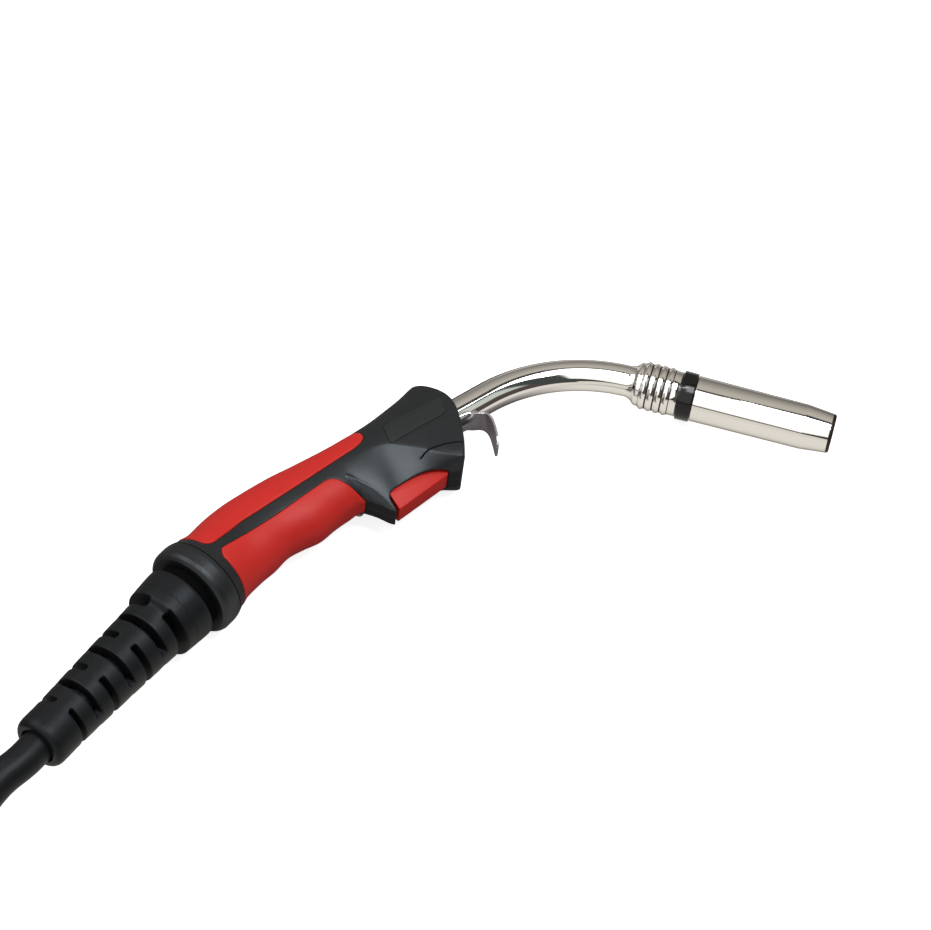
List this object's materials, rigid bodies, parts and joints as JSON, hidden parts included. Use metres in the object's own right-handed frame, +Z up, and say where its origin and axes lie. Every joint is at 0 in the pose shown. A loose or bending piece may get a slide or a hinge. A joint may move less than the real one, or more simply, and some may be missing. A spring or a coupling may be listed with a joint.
{
  "type": "MIG welding torch",
  "caption": "Welding gun with a bent neck, slide-on gas nozzle, moulded grip with trigger and hanging hook, swivelling cable exit with slotted bend relief, coiled cable and machine plug.",
  "frame": {"origin": "on the surface the torch lies on, under the centre of the torch without its free cable", "axes": "+X along the torch towards the nozzle, +Y towards the top of the handle, +Z up, out of the torch's right side"},
  "size_m": [0.8604, 0.2839, 0.0958],
  "materials": {
    "chrome": "bright nickel-chrome plating",
    "steel": "bright zinc-plated steel",
    "bright_steel": "polished spring steel",
    "copper": "bare copper alloy",
    "brass": "turned brass",
    "white_insulator": "matt",
    "black_plastic": "satin, finely textured",
    "plate_plastic": "semi-gloss",
    "red_soft_grip": "fine matt grain",
    "red_plastic": "satin",
    "black_rubber": "satin"
  },
  "bodies": {
    "cable_side": {"swivel_ball": "black_plastic", "cable_support": "black_rubber", "inner_cable": "black_rubber", "cable": "black_rubber", "cable_coil": "black_rubber", "cable_tie": "black_rubber", "cable_tail": "black_rubber", "plug_support": "black_rubber", "plug_cover_top": "black_plastic", "plug_cover_bottom": "black_plastic", "plug_screws": "steel", "plug_body": "brass", "plug_insert": "black_plastic", "plug_spigot": "brass", "plug_o_ring": "black_rubber", "liner_nut": "steel"},
    "swivel": {"swivel_cable": "black_rubber"},
    "handle": {"insulating_ring": "black_plastic", "nozzle_clip": "steel", "contact_tip": "copper", "tip_holder": "brass", "gas_diffuser": "white_insulator", "neck_head": "chrome", "neck_tube": "chrome", "neck_insulation": "white_insulator", "neck_core": "copper", "wire_liner": "steel", "neck_nut": "brass", "cable_crimp": "copper", "handle_cable": "black_rubber", "right_shell": "black_plastic", "left_shell": "black_plastic", "right_top_grip": "red_soft_grip", "left_top_grip": "red_soft_grip", "right_palm_grip": "red_soft_grip", "left_palm_grip": "red_soft_grip", "right_name_plate": "plate_plastic", "left_name_plate": "plate_plastic", "shell_screws": "steel", "trigger_pin": "steel", "trigger_spring": "steel", "switch_body": "black_plastic", "switch_leads": "black_rubber", "hook": "bright_steel", "locking_ring": "black_plastic"},
    "nozzle": {"gas_nozzle": "chrome"},
    "trigger": {"trigger": "red_plastic"},
    "plunger": {"switch_plunger": "red_plastic"},
    "coupling_nut": {"plug_nut": "black_plastic"},
    "contact_pins": {"control_pins": "brass"}
  },
  "joints": [
    {"name": "swivel_side", "type": "hinge", "parent": "cable_side", "child": "swivel", "pos_m": [-0.13534, -0.00492, 0.02832], "axis": [0.0395, 0, 0.9992], "range_deg": [-10, 10]},
    {"name": "swivel_up", "type": "hinge", "parent": "swivel", "child": "handle", "pos_m": [-0.13534, -0.00492, 0.02832], "axis": [-0.5471, 0.8368, 0.0216], "range_deg": [-10, 10]},
    {"name": "trigger_press", "type": "hinge", "parent": "handle", "child": "trigger", "pos_m": [0.02054, 0.03348, 0.02216], "axis": [-0.0395, 0, -0.9992], "range_deg": [0, 3.5], "stiffness_Nm_per_rad": 1, "springref_deg": -5.73, "deforming": ["trigger_spring"]},
    {"name": "plunger_travel", "type": "slide", "parent": "handle", "child": "plunger", "axis": [-0.3418, 0.9397, 0.0135], "range_m": [0, 0.0008]},
    {"name": "nozzle_pull", "type": "slide", "parent": "handle", "child": "nozzle", "axis": [0.8274, -0.5606, -0.0327], "range_m": [0, 0.09]},
    {"name": "nut_turn", "type": "hinge", "parent": "cable_side", "child": "coupling_nut", "pos_m": [-0.35562, 0.04614, 0.0688], "axis": [1, 0, 0], "continuous": true},
    {"name": "pins_push", "type": "slide", "parent": "cable_side", "child": "contact_pins", "axis": [-1, 0, 0], "range_m": [0, 0.0015], "stiffness_N_per_m": 2000, "springref_m": -0.001}
  ],
  "couplings": [
    {"joint": "plunger_travel", "follows": "trigger_press", "m_per_rad": 0.0112}
  ]
}
